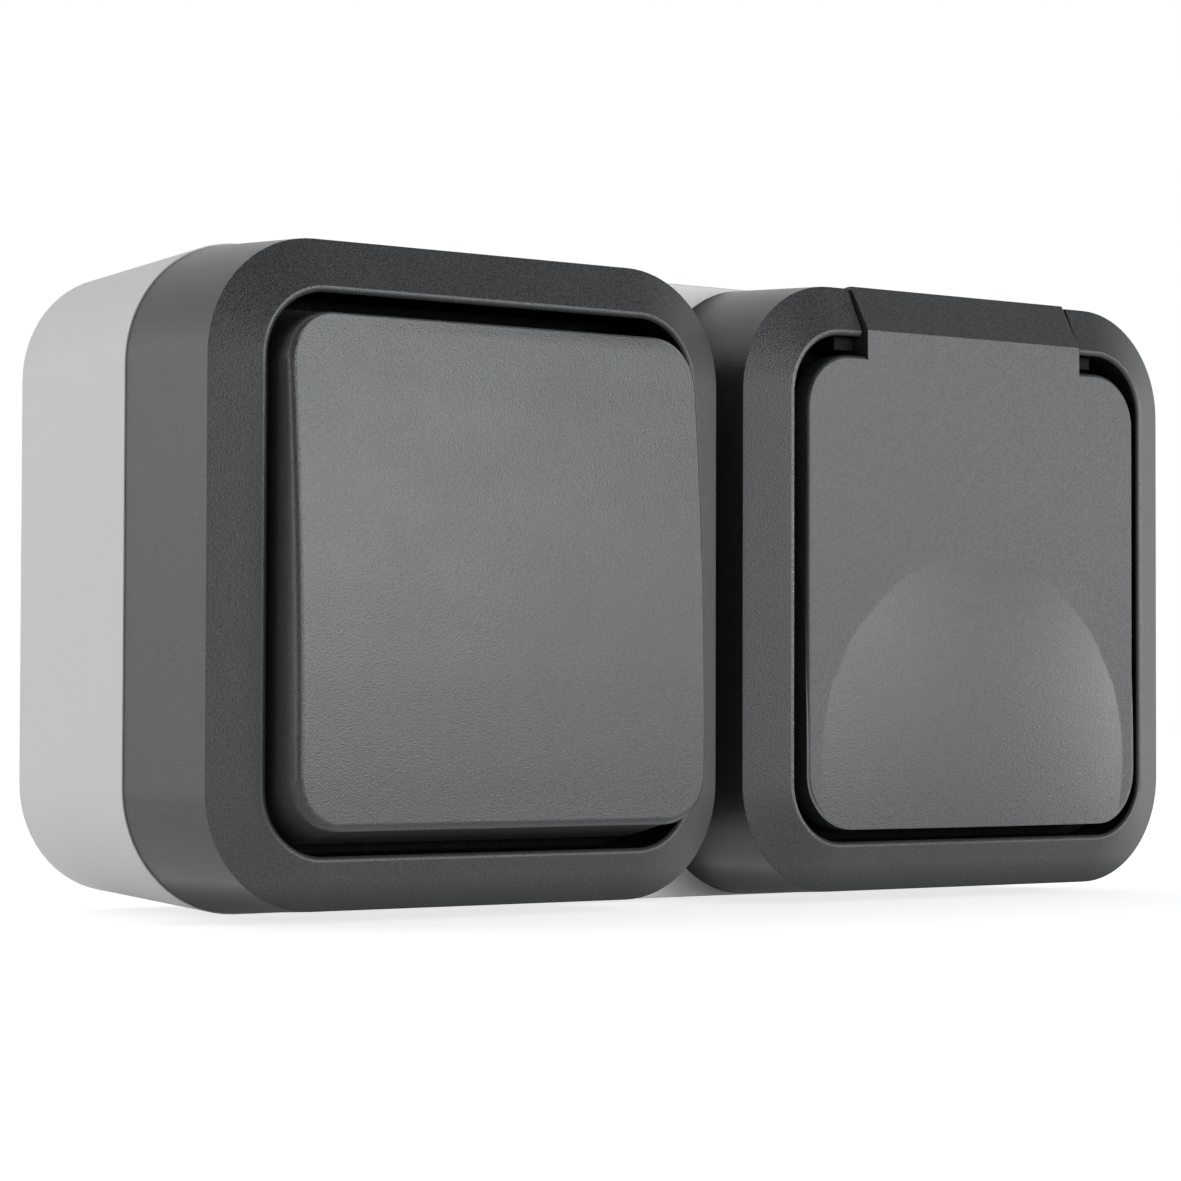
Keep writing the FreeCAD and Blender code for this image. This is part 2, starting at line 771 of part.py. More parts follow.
# Socket: insert block, live contacts, earth bracket and the plate with the plug well
def make_socket_insert():
    a = socket_body_w / 2
    top = socket_body_top + over
    low = socket_strip_z
    side_play = clamp_w / 2 + nest_play
    end_play = clamp_l / 2 + nest_play
    y = earth_clamp_y
    wire = earth_clamp_z + wire_z
    cuts = [
        post(plate_screw_r + screw_play, low, top),
        block(-side_play, side_play, y - end_play, y + end_play, earth_clamp_z - nest_play, top),
        block(-a - over, a + over, y - wire_r, y + wire_r, wire - wire_r, wire + wire_r),
    ]
    pieces = []
    holes = []
    wire = low + wire_z
    for side in (-1, 1):
        x = side * pin_pitch / 2
        cuts.append(post(sleeve_bore_r + sleeve_wall + nest_play, low, top, x, 0))
        cuts.append(block(*pair(x, side * (a - over)), -side_play, side_play, low, top))
        hole = (side * live_clamp_x - wire_r, side * live_clamp_x + wire_r)
        cuts.append(block(*hole, -socket_body_h, socket_body_h, wire - wire_r, wire + wire_r))
        ear = pair(side * (a - over), side * (socket_ear_x + post_r))
        pieces.append(block(*ear, -ear_half, ear_half, socket_post_top, socket_post_top + ear_t))
        holes.append(ear_hole(side * socket_ear_x, 0, socket_post_top))
    body = slab((socket_body_w, socket_body_h, socket_body_corner), socket_body_z, socket_body_top)
    return shifted(cut(fuse(cut(body, *cuts), *pieces), *holes), socket_x)


def make_live_contact(side):
    z = socket_strip_z
    x = side * pin_pitch / 2
    far = side * live_clamp_x
    outer = sleeve_bore_r + sleeve_wall
    tube = post(outer, z, well_back - sleeve_drop, x, 0)
    strip = block(*pair(x, far), -live_strip_w / 2, live_strip_w / 2, z, z + strip_t)
    bore = post(sleeve_bore_r, z - over, well_back, x, 0)
    slit = block(x - sleeve_slit / 2, x + sleeve_slit / 2, -outer, outer, z + sleeve_root, well_back)
    return shifted(fuse(cut(fuse(strip, tube), bore, slit), clamp(far, 0, z, False)), socket_x)


def earth_clip(side):
    reach = well_r + clip_reach - clip_t
    spine = [
        (reach, socket_body_top),
        (reach, well_floor + clip_bend),
        (well_r - clip_bulge, well_floor + clip_touch),
        (well_r + clip_flare, well_floor + clip_rise),
    ]
    outline = spine + [(y + clip_t, z) for y, z in reversed(spine)]
    return prism([V(-clip_w / 2, side * y, z) for y, z in outline], V(clip_w, 0, 0))


def make_earth_bracket():
    y = earth_clamp_y
    reach = well_r + clip_reach
    wire = earth_clamp_z + wire_z
    strip = block(-earth_w / 2, earth_w / 2, -reach, reach, socket_body_top, earth_top)
    hang = block(-clamp_w / 2, clamp_w / 2, y - clamp_l / 2, y + clamp_l / 2, earth_clamp_z, socket_body_top)
    holes = [
        post(plate_screw_r + slip, socket_body_top - over, earth_top + over),
        post(set_screw_r + slip, wire, earth_top + over, 0, y),
        block(-clamp_w, clamp_w, y - wire_r, y + wire_r, wire - wire_r, wire + wire_r),
    ]
    return shifted(cut(fuse(strip, hang, earth_clip(-1), earth_clip(1)), *holes), socket_x)


def make_socket_terminal_screws():
    top = socket_strip_z + clamp_h + screw_proud
    screws = [set_screw(socket_x + side * live_clamp_x, 0, top) for side in (-1, 1)]
    screws.append(set_screw(socket_x, earth_clamp_y, earth_top - earth_screw_sink))
    return Part.makeCompound(screws)


def make_centre_plate():
    cup = fuse(
        slab(plate_line, socket_ledge_z, plate_front),
        post(well_r + well_wall, well_back, plate_front),
        post(boss_r, earth_top, well_back),
    )
    cup = cut(cup, post(well_r, well_floor, plate_front + over))
    wide = clip_w / 2 + clip_side
    slot_top = well_floor + clip_rise + clip_room
    outside = well_r + well_wall + over
    keys = []
    holes = [post(plate_screw_r + screw_play, earth_top - over, well_floor + over)]
    for side in (-1, 1):
        key = pair(side * (well_r - key_h), side * (well_r + over))
        keys.append(block(*key, -key_w / 2, key_w / 2, well_floor - over, plate_front - key_drop))
        holes.append(post(pin_hole_r, well_back - over, well_floor + over, side * pin_pitch / 2, 0))
        wall = pair(side * (well_r + nest_play), side * outside)
        holes.append(block(-wide, wide, *wall, well_back - over, slot_top))
        room = pair(side * (well_r - well_wall), side * outside)
        holes.append(block(-wide, wide, *room, well_floor, slot_top))
    return shifted(cut(fuse(cup, *keys), *holes), socket_x)


def make_plate_screw():
    return pan_screw(socket_x, 0, well_floor, plate_screw_len, plate_screw_r, plate_head_r, plate_head_h)


def make_lid_seal():
    line = (lid_seal_w, 2 * (lid_top_y - lid_seal_end), lid_seal_corner)
    top = plate_front + lid_seal_t
    inner = slab(grow(line, -lid_seal_band), plate_front - over, top + over, socket_x)
    return cut(slab(line, plate_front, top, socket_x), inner)


# Socket cover: the shared frame with a hinge trough and two pin lugs under the top bevel
def make_socket_cover():
    shell = make_cover(socket_x, socket_ledge_z, grow(plate_line, -plate_bearing))
    form = cover_form(socket_x)
    ends = (socket_x - notch_half, socket_x + notch_half)
    bed = rod_x(trough_r + trough_wall, ends[0] - trough_wall, ends[1] + trough_wall, hinge_y, hinge_z)
    below = block(0, 2 * gang_x, 0, cover_h, 0, hinge_z - hinge_bed_drop)
    pieces = [bed.common(below).common(form)]
    for side in (-1, 1):
        run = pair(socket_x + side * notch_half, socket_x + side * (notch_half + lug_t))
        deep = (hinge_y - lug_front, hinge_y + lug_back)
        lug = block(*run, *deep, socket_ledge_z - over, hinge_z + lug_rise)
        pieces.append(lug.common(form))
    trough = rod_x(trough_r, *ends, hinge_y, hinge_z)
    reach = notch_half + lug_t - lug_cap
    bore = rod_x(hinge_pin_r + slip, socket_x - reach, socket_x + reach, hinge_y, hinge_z)
    return cut(fuse(shell, *pieces), trough, bore)


def make_hinge_pin():
    reach = notch_half + lug_t - hinge_pin_short
    return rod_x(hinge_pin_r, socket_x - reach, socket_x + reach, hinge_y, hinge_z)


def lid_dome():
    ball_r = (dome_r**2 + dome_rise**2) / (2 * dome_rise)
    ball = Part.makeSphere(ball_r)
    ball.rotate(V(0, 0, 0), V(0, 1, 0), 90)
    ball.translate(V(0, dome_y, lid_face_z + dome_rise - ball_r))
    low = lid_face_z - lid_t / 2
    high = lid_face_z + 2 * dome_rise
    half = block(-lid_line[0], lid_line[0], lid_low_y - over, dome_y + dome_r + over, low, high)
    return ball.common(slab(lid_line, low, high, 0, lid_centre).common(half))


def lid_tongue():
    heel = math.radians(tongue_heel)
    tip = V(-tongue_half, tongue_tip_y, tongue_tip_z)
    under = V(-tongue_half, hinge_y, hinge_z - barrel_r)
    end = V(-tongue_half, hinge_y + barrel_r * math.cos(heel), hinge_z + barrel_r * math.sin(heel))
    root = V(-tongue_half, lid_top_y - tongue_root, lid_back_z)
    head = V(-tongue_half, lid_top_y - tongue_root, lid_face_z)
    crease = V(-tongue_half, crease_y, lid_face_z)
    edges = [
        Part.makeLine(head, crease),
        Part.makeLine(crease, tip),
        Part.Arc(tip, under, end).toShape(),
        Part.makeLine(end, root),
        Part.makeLine(root, head),
    ]
    return Part.Face(Part.Wire(edges)).extrude(V(2 * tongue_half, 0, 0))


def make_lid():
    plate = slab(lid_line, lid_back_z, lid_face_z, 0, lid_centre)
    plate = plate.makeChamfer(lid_edge, edges_at(plate, lid_face_z))
    lid = fuse(fuse(plate, lid_dome()), lid_tongue())
    bore = rod_x(hinge_pin_r + hinge_run, -tongue_half - over, tongue_half + over, hinge_y, hinge_z)
    room = rod_x(spring_room, -spring_half, spring_half, hinge_y, hinge_z)
    low = hinge_z - barrel_r - over
    slot = block(-spring_half, spring_half, hinge_y - spring_room, hinge_y + spring_room, low, hinge_z)
    return shifted(cut(lid, bore, room, slot), socket_x)


def make_lid_spring():
    reach = spring_half - nest_play
    coil = square_coil(spring_inner, spring_wire, -reach, reach, spring_turns)
    coil.rotate(V(0, 0, 0), V(0, 1, 0), 90)
    coil.translate(V(socket_x, hinge_y, hinge_z))
    return coil


save("base_box", make_base())
save("switch_cable_grommet", make_grommet(switch_x))
save("socket_cable_grommet", make_grommet(socket_x))
save("switch_cover_seal", make_cover_seal(switch_x))
save("socket_cover_seal", make_cover_seal(socket_x))
save("switch_cover", make_switch_cover())
save("switch_membrane", make_membrane())
save("rocker", make_rocker())
save("actuator", make_actuator())
save("plunger", make_plunger())
save("plunger_spring", make_plunger_spring())
save("switch_insert_body", make_switch_insert())
save("common_terminal", make_common_terminal())
save("upper_contact", make_side_contact(1))
save("lower_contact", make_side_contact(-1))
save("contact_lever", make_contact_lever())
save("switch_terminal_screws", make_switch_terminal_screws())
save("switch_insert_screws", make_insert_screws(insert_posts()[:2]))
save("switch_cover_screws", make_cover_screws())
save("socket_insert_body", make_socket_insert())
save("left_live_contact", make_live_contact(-1))
save("right_live_contact", make_live_contact(1))
save("earth_bracket", make_earth_bracket())
save("socket_terminal_screws", make_socket_terminal_screws())
save("socket_insert_screws", make_insert_screws(insert_posts()[2:]))
save("socket_centre_plate", make_centre_plate())
save("plate_screw", make_plate_screw())
save("lid_seal", make_lid_seal())
save("socket_cover", make_socket_cover())
save("hinge_pin", make_hinge_pin())
save("socket_lid", make_lid())
save("lid_spring", make_lid_spring())
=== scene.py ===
import json
import math

import bmesh
import bpy
from mathutils import Matrix, Vector


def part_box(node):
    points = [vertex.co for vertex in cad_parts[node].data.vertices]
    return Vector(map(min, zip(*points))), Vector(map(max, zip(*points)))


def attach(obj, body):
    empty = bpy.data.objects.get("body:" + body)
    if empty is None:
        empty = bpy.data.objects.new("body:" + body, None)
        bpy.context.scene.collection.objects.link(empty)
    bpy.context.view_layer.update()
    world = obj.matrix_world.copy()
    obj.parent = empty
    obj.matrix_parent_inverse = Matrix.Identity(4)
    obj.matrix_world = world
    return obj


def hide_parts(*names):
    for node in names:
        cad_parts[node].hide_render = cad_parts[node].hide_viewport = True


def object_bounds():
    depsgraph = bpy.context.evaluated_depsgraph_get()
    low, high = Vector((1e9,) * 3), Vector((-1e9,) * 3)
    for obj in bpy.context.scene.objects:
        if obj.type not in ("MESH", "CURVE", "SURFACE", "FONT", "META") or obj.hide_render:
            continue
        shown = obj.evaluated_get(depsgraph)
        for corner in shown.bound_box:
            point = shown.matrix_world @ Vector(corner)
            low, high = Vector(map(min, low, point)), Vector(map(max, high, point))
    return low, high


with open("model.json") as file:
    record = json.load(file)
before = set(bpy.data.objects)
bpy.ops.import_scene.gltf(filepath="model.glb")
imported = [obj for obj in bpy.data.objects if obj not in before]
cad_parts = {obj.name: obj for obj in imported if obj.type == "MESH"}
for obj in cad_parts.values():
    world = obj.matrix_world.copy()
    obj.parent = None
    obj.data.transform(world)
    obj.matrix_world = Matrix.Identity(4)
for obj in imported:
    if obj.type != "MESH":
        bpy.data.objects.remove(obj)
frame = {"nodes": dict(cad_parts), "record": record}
nodes = frame["nodes"]
record = frame["record"]
cadLow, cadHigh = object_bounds()
mm = 0.001
print("frame loaded,", len(nodes), "nodes")

slotOf = {entry["node"]: entry["material_slot"] for entry in record["subparts"]}
bodyOf = {node: body for body, members in record["behaviour"]["bodies"].items() for node in members}


def addObject(name, data):
    piece = bpy.data.objects.new(name, data)
    bpy.context.scene.collection.objects.link(piece)
    return piece


def link(tree, source, output, target, entry):
    tree.links.new(source.outputs[output], target.inputs[entry])


def addNode(tree, kind, **values):
    node = tree.nodes.new(kind)
    for name, value in values.items():
        setattr(node, name, value)
    return node


# math on two other nodes' outputs
def addMath(tree, operation, first, firstOutput, second, secondOutput):
    node = addNode(tree, "ShaderNodeMath", operation=operation)
    link(tree, first, firstOutput, node, 0)
    link(tree, second, secondOutput, node, 1)
    return node


# an output carried from one pair of limits to another
def addRange(tree, source, output, limits, ends, **values):
    node = addNode(tree, "ShaderNodeMapRange", **values)
    node.inputs["From Min"].default_value, node.inputs["From Max"].default_value = limits
    node.inputs["To Min"].default_value, node.inputs["To Max"].default_value = ends
    link(tree, source, output, node, "Value")
    return node


# the source's Color times a factor
def scaleColor(tree, source, factor, target, entry):
    node = addNode(tree, "ShaderNodeVectorMath", operation="SCALE")
    link(tree, source, "Color", node, 0)
    link(tree, factor, 0, node, "Scale")
    link(tree, node, 0, target, entry)


# value swung round 1 by a noise: 1 + amount * (noise - 0.5)
def swing(group, noise, amount, label):
    middle = addNode(group, "ShaderNodeMath", operation="SUBTRACT")
    middle.inputs[1].default_value = 0.5
    link(group, noise, 0, middle, 0)
    scaled = addNode(group, "ShaderNodeMath", operation="MULTIPLY_ADD")
    scaled.inputs[2].default_value = 1.0
    link(group, middle, 0, scaled, 0)
    link(group, amount, label, scaled, 1)
    return scaled


# a surface group: an input of four numbers is a colour, any other a plain value
def newGroup(name, entries):
    group = bpy.data.node_groups.new(name, "ShaderNodeTree")
    for label, value in entries.items():
        kind = "NodeSocketColor" if isinstance(value, tuple) else "NodeSocketFloat"
        socket = group.interface.new_socket(name=label, in_out="INPUT", socket_type=kind)
        socket.default_value = value
    group.interface.new_socket(name="Color", in_out="OUTPUT", socket_type="NodeSocketColor")
    for label in ("Roughness", "Height"):
        group.interface.new_socket(name=label, in_out="OUTPUT", socket_type="NodeSocketFloat")
    return group, group.nodes.new("NodeGroupInput"), group.nodes.new("NodeGroupOutput")


# Spark-eroded mould grain: fine pits, a faint change of tone, and patches of more polished mould
sparkGrain = {
    "entries": {"Scale": 3600.0, "Tone": 0.5, "Speck": 0.2, "Polish": 0.3,
                "Color": (0.05, 0.05, 0.05, 1), "Roughness": 0.5},
    "detail": 1.5, "detailGain": 0.6, "pitShare": 0.6, "patchScale": 110.0,
}


def makeSparkGrain():
    group, start, end = newGroup("sparkGrain", sparkGrain["entries"])
    place = addNode(group, "ShaderNodeTexCoord")
    fine = addNode(group, "ShaderNodeTexNoise")
    fine.inputs["Detail"].default_value = sparkGrain["detail"]
    fine.inputs["Roughness"].default_value = sparkGrain["detailGain"]
    pits = addNode(group, "ShaderNodeTexVoronoi", feature="F1")
    for texture in (fine, pits):
        link(group, place, "Object", texture, "Vector")
        link(group, start, "Scale", texture, "Scale")
    blend = addNode(group, "ShaderNodeMix", data_type="FLOAT")
    blend.inputs["Factor"].default_value = sparkGrain["pitShare"]
    link(group, fine, 0, blend, 2)
    link(group, pits, "Distance", blend, 3)
    link(group, blend, 0, end, "Height")
    shade = swing(group, fine, start, "Tone")
    scaleColor(group, start, shade, end, "Color")
    patch = addNode(group, "ShaderNodeTexNoise")
    patch.inputs["Scale"].default_value = sparkGrain["patchScale"]
    link(group, place, "Object", patch, "Vector")
    polish = swing(group, patch, start, "Polish")
    speck = swing(group, fine, start, "Speck")
    both = addMath(group, "MULTIPLY", polish, 0, speck, 0)
    total = addMath(group, "MULTIPLY", start, "Roughness", both, 0)
    link(group, total, 0, end, "Roughness")
    return group


# Drawn or stamped metal: fine lines along X and a cloudy film
drawnMetal = {
    "entries": {"Scale": 2600.0, "Tone": 0.3, "Polish": 0.4,
                "Color": (0.6, 0.6, 0.6, 1), "Roughness": 0.3},
    "stretch": (0.03, 1, 1), "lineDetail": 3.0, "filmScale": 320.0, "filmDetail": 4.0,
}


def makeDrawnMetal():
    group, start, end = newGroup("drawnMetal", drawnMetal["entries"])
    place = addNode(group, "ShaderNodeTexCoord")
    stretch = addNode(group, "ShaderNodeMapping")
    stretch.inputs["Scale"].default_value = drawnMetal["stretch"]
    link(group, place, "Object", stretch, "Vector")
    lines = addNode(group, "ShaderNodeTexNoise")
    lines.inputs["Detail"].default_value = drawnMetal["lineDetail"]
    link(group, stretch, 0, lines, "Vector")
    link(group, start, "Scale", lines, "Scale")
    link(group, lines, 0, end, "Height")
    film = addNode(group, "ShaderNodeTexNoise")
    film.inputs["Scale"].default_value = drawnMetal["filmScale"]
    film.inputs["Detail"].default_value = drawnMetal["filmDetail"]
    link(group, place, "Object", film, "Vector")
    shade = swing(group, film, start, "Tone")
    scaleColor(group, start, shade, end, "Color")
    polish = swing(group, lines, start, "Polish")
    total = addMath(group, "MULTIPLY", start, "Roughness", polish, 0)
    link(group, total, 0, end, "Roughness")
    return group


surfaces = {"sparkGrain": makeSparkGrain(), "drawnMetal": makeDrawnMetal()}
raySamples = 2  # rays that look for a rounded edge or an inner corner


# painted shade: hemmed-in places of a moulding are made darker and duller than its open faces, by how
# little open room is round them
def addPaintedCornerShade(tree, shader, surface, corner):
    depth = addNode(tree, "ShaderNodeAmbientOcclusion", samples=raySamples, only_local=corner["alone"])
    depth.inputs["Distance"].default_value = corner["reach"] * mm
    shade = addRange(tree, depth, "AO", corner["open"], (corner["tone"], 1.0))
    dull = addRange(tree, depth, "AO", corner["open"], (corner["roughness"], 0.0))
    scaleColor(tree, surface, shade, shader, "Base Color")
    rough = addMath(tree, "MAXIMUM", surface, "Roughness", dull, 0)
    link(tree, rough, 0, shader, "Roughness")


def makeFinish(name, look):
    material = bpy.data.materials.new(name)
    material.use_nodes = True
    tree = material.node_tree
    shader = tree.nodes["Principled BSDF"]
    shader.inputs["IOR"].default_value = look["ior"]
    shader.inputs["Metallic"].default_value = look["metallic"]
    if "specular" in look:
        shader.inputs["Specular IOR Level"].default_value = look["specular"]
    surface = addNode(tree, "ShaderNodeGroup", node_tree=surfaces[look["surface"]])
    surface.inputs["Color"].default_value = (*look["color"], 1)
    for label in ("Scale", "Tone", "Speck", "Polish", "Roughness"):
        if label.lower() in look:
            surface.inputs[label].default_value = look[label.lower()]
    if "corner" in look:
        addPaintedCornerShade(tree, shader, surface, look["corner"])
    else:
        link(tree, surface, "Color", shader, "Base Color")
        link(tree, surface, "Roughness", shader, "Roughness")
    edge = addNode(tree, "ShaderNodeBevel", samples=raySamples)
    edge.inputs["Radius"].default_value = look["edge"] * mm
    bump = addNode(tree, "ShaderNodeBump")
    bump.inputs["Strength"].default_value = look["bump"]
    bump.inputs["Distance"].default_value = look["depth"] * mm
    link(tree, surface, "Height", bump, "Height")
    link(tree, edge, "Normal", bump, "Normal")
    link(tree, bump, "Normal", shader, "Normal")
    return material


# edge is the small moulded radius, depth the grain's depth and reach how far the painted corner shade
# looks, in millimetres
finishes = {
    "pale_grey_plastic": {
        "surface": "sparkGrain", "color": (0.60, 0.60, 0.603), "ior": 1.46, "metallic": 0.0,
        "roughness": 0.55, "scale": 3000.0, "tone": 0.08, "polish": 0.15,
        "edge": 0.3, "bump": 0.25, "depth": 0.03},
    "dark_grey_plastic": {
        "surface": "sparkGrain", "color": (0.030, 0.0325, 0.034), "ior": 1.5, "metallic": 0.0,
        "roughness": 0.36, "scale": 4800.0, "tone": 2.4, "polish": 0.2, "speck": 0.7,
        "edge": 0.15, "bump": 1.0, "depth": 0.03,
        # corner: painted shade in the piece's own hollows, darker and duller
        "corner": {"reach": 4.0, "tone": 0.15, "roughness": 0.9, "alone": True, "open": (0.55, 0.85)}},
    "seal_rubber": {
        "surface": "sparkGrain", "color": (0.014, 0.014, 0.014), "ior": 1.5, "metallic": 0.0,
        "roughness": 0.65, "scale": 1800.0, "tone": 0.4, "polish": 0.3,
        "edge": 0.2, "bump": 0.4, "depth": 0.03},
    "insert_plastic": {
        "surface": "sparkGrain", "color": (0.72, 0.72, 0.68), "ior": 1.46, "metallic": 0.0,
        "roughness": 0.5, "scale": 2400.0, "tone": 0.1, "polish": 0.2,
        "edge": 0.2, "bump": 0.25, "depth": 0.02},
    "contact_brass": {
        "surface": "drawnMetal", "color": (0.78, 0.60, 0.30), "ior": 1.5, "metallic": 1.0,
        "roughness": 0.30, "scale": 2600.0, "tone": 0.5, "polish": 0.6,
        "edge": 0.12, "bump": 0.4, "depth": 0.01},
    "plated_steel": {
        "surface": "drawnMetal", "color": (0.62, 0.62, 0.61), "ior": 1.5, "metallic": 1.0,
        "roughness": 0.28, "scale": 2200.0, "tone": 0.3, "polish": 0.5,
        "edge": 0.1, "bump": 0.3, "depth": 0.01},
}
# the covers and the rocker also get painted shade, darker and duller, where the gap between them is narrow
gapShadeNodes = ("switch_cover", "rocker", "socket_cover")
gapPaintedShade = {"reach": 5.0, "tone": 0.05, "roughness": 0.95, "alone": False, "open": (0.45, 0.70)}
finishes["dark_grey_gap"] = {**finishes["dark_grey_plastic"], "corner": gapPaintedShade}
# inner walls: no gloss at all on top of the painted gap shade, so the recess stays dark
finishes["dark_grey_inside"] = {**finishes["dark_grey_gap"], "specular": 0.0}
materials = {name: makeFinish(name, look) for name, look in finishes.items()}
print("finishes made:", ", ".join(materials))


def dress(piece, node):
    piece.data.materials.clear()
    # the covers and the rocker take the finish with painted gap shade
    piece.data.materials.append(materials["dark_grey_gap" if node in gapShadeNodes else slotOf[node]])


for node, piece in nodes.items():
    dress(piece, node)

# Skins: a solid's loose triangles are welded, within millimetres, and joined where they turn few degrees
skin = {"weld": 0.002, "flat": 0.5, "areaWeight": 100}


def mergedCopy(node):
    bm = bmesh.new()
    bm.from_mesh(nodes[node].data)
    bmesh.ops.remove_doubles(bm, verts=bm.verts, dist=skin["weld"] * mm)
    return bm


def joinFlats(bm, verts, edges):
    bmesh.ops.dissolve_limit(bm, angle_limit=math.radians(skin["flat"]), verts=verts, edges=edges)


# shade smooth, but keep the edges whose turn in degrees lies in one of the given bands
def shadeSmooth(bm, bands):
    for face in bm.faces:
        face.smooth = True
    for edge in bm.edges:
        turn = math.degrees(edge.calc_face_angle(math.pi))
        edge.smooth = not any(low <= turn <= high for low, high in bands)


def addSkin(bm, node):
    mesh = bpy.data.meshes.new(node + "_skin")
    bm.to_mesh(mesh)
    bm.free()
    piece = addObject(node + "_skin", mesh)
    weigh = piece.modifiers.new("flatFaces", "WEIGHTED_NORMAL")
    weigh.keep_sharp = True
    weigh.weight = skin["areaWeight"]
    dress(piece, node)
    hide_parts(node)
    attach(piece, bodyOf[node])
    return piece


# Covers: the lip round the aperture is rounded and catches the light, and the walls behind it lose all
# gloss, painted shade that keeps them dark.
# Depths are in millimetres back from the cover's front: the lip's two edges, and where the walls begin
cover = {"nodes": ("switch_cover", "socket_cover"), "lipDepths": (0.0, 0.36), "within": 0.03,
         "turns": (50, 75), "round": 0.3, "roundSteps": 4,
         "wallDepth": 0.45, "halfWidth": 29.4, "halfHeight": 31.3}


def onLip(edge, front):
    least, most = cover["turns"]
    if not least <= math.degrees(edge.calc_face_angle(0.0)) <= most:
        return False
    depths = [(vert.co.y - front) / mm for vert in edge.verts]
    return any(all(abs(depth - lip) < cover["within"] for depth in depths) for lip in cover["lipDepths"])


def roundLip(bm, node):
    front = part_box(node)[0][1]
    edges = [edge for edge in bm.edges if onLip(edge, front)]
    bmesh.ops.bevel(bm, geom=edges, offset=cover["round"] * mm, affect="EDGES",
                    segments=cover["roundSteps"], profile=0.5, material=-1)
    print(node, "lip:", len(edges), "edges rounded")


def shadeInsideWalls(piece, node):
    low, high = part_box(node)
    piece.data.materials.append(materials["dark_grey_inside"])
    insideShadeSlot = len(piece.data.materials) - 1
    # faces behind the lip get the glossless painted shade finish
    for face in piece.data.polygons:
        behind = (face.center.y - low[1]) / mm > cover["wallDepth"]
        across = abs(face.center.x - (low[0] + high[0]) / 2) / mm < cover["halfWidth"]
        up = abs(face.center.z) / mm < cover["halfHeight"]
        if behind and across and up:
            face.material_index = insideShadeSlot


# Moulded pieces: the solid's facets are drawn together into smooth faces
mouldings = {"nodes": ("base_box", "switch_cover", "socket_cover", "socket_centre_plate"),
             "creases": [(50, 180)]}


def makeMoulding(node):
    bm = mergedCopy(node)
    joinFlats(bm, bm.verts, bm.edges)
    if node in cover["nodes"]:
        roundLip(bm, node)
    shadeSmooth(bm, mouldings["creases"])
    piece = addSkin(bm, node)
    if node in cover["nodes"]:
        shadeInsideWalls(piece, node)


for node in mouldings["nodes"]:
    makeMoulding(node)
print("mouldings smoothed")

# Rocker: its top edge is rounded tighter than the others, so the face runs up to it
rocker = {"node": "rocker", "creases": [(50, 180)], "rampFrom": 24.0, "rampTo": 28.1,
          "edgeBack": -47.88, "edgeFront": -48.75, "lift": 0.45}


# how far a value has come from start to end, from 0 to 1
def share(value, start, end):
    return min(max((value - start) / (end - start), 0.0), 1.0)


def makeRocker():
    bm = mergedCopy(rocker["node"])
    joinFlats(bm, bm.verts, bm.edges)
    for vert in bm.verts:
        front = share(vert.co.y / mm, rocker["edgeBack"], rocker["edgeFront"])
        ramp = share(vert.co.z / mm, rocker["rampFrom"], rocker["rampTo"])
        vert.co.z += rocker["lift"] * mm * front * ramp * ramp * (3 - 2 * ramp)
    shadeSmooth(bm, rocker["creases"])
    addSkin(bm, rocker["node"])
    print("rocker: top edge lifted", rocker["lift"], "mm at most")


makeRocker()

# Lid: as the mouldings, with a finely divided ball-shaped swell, a crease under the hinge tongue
# and a little more room at the tongue's right end, where the gap shows
lid = {"node": "socket_lid", "ballCentre": (37.7, 193.73, -21.3), "ballRadius": 242.13, "onBall": 0.02,
       "swellCuts": 5, "creases": [(20, 40), (50, 180)], "tongueEnd": 56.1, "tongueTrim": 0.35}


def makeLid():
    bm = mergedCopy(lid["node"])
    centre = Vector(lid["ballCentre"]) * mm
    radius = lid["ballRadius"] * mm

    def onBall(vert):
        return abs((vert.co - centre).length - radius) < lid["onBall"] * mm

    def swellFaces():
        return [face for face in bm.faces if all(onBall(vert) for vert in face.verts)]

    swellVerts = {vert for face in swellFaces() for vert in face.verts}
    plainVerts = [vert for vert in bm.verts if vert not in swellVerts]
    plainEdges = [edge for edge in bm.edges if not swellVerts.issuperset(edge.verts)]
    joinFlats(bm, plainVerts, plainEdges)
    for vert in bm.verts:
        if abs(vert.co.x - lid["tongueEnd"] * mm) < skin["weld"] * mm:
            vert.co.x -= lid["tongueTrim"] * mm
    swell = swellFaces()
    swellEdges = list({edge for face in swell for edge in face.edges})
    print("lid swell:", len(swell), "faces divided")
    made = bmesh.ops.subdivide_edges(bm, edges=swellEdges, cuts=lid["swellCuts"], use_grid_fill=True)
    for part in made["geom_inner"]:
        if isinstance(part, bmesh.types.BMVert):
            part.co = centre + (part.co - centre).normalized() * radius
    shadeSmooth(bm, lid["creases"])
    addSkin(bm, lid["node"])


makeLid()

# Screw in the middle of the plug well: rounded head with a tapered cross recess
plateScrew = {"node": "plate_screw", "creases": [(30, 180)], "round": 0.6, "roundSteps": 4,
              "crossWidth": 0.9, "crossReach": 1.7, "crossDepth": 1.3, "taper": 0.5,
              "onHead": 0.001, "cutMerge": 0.0001}


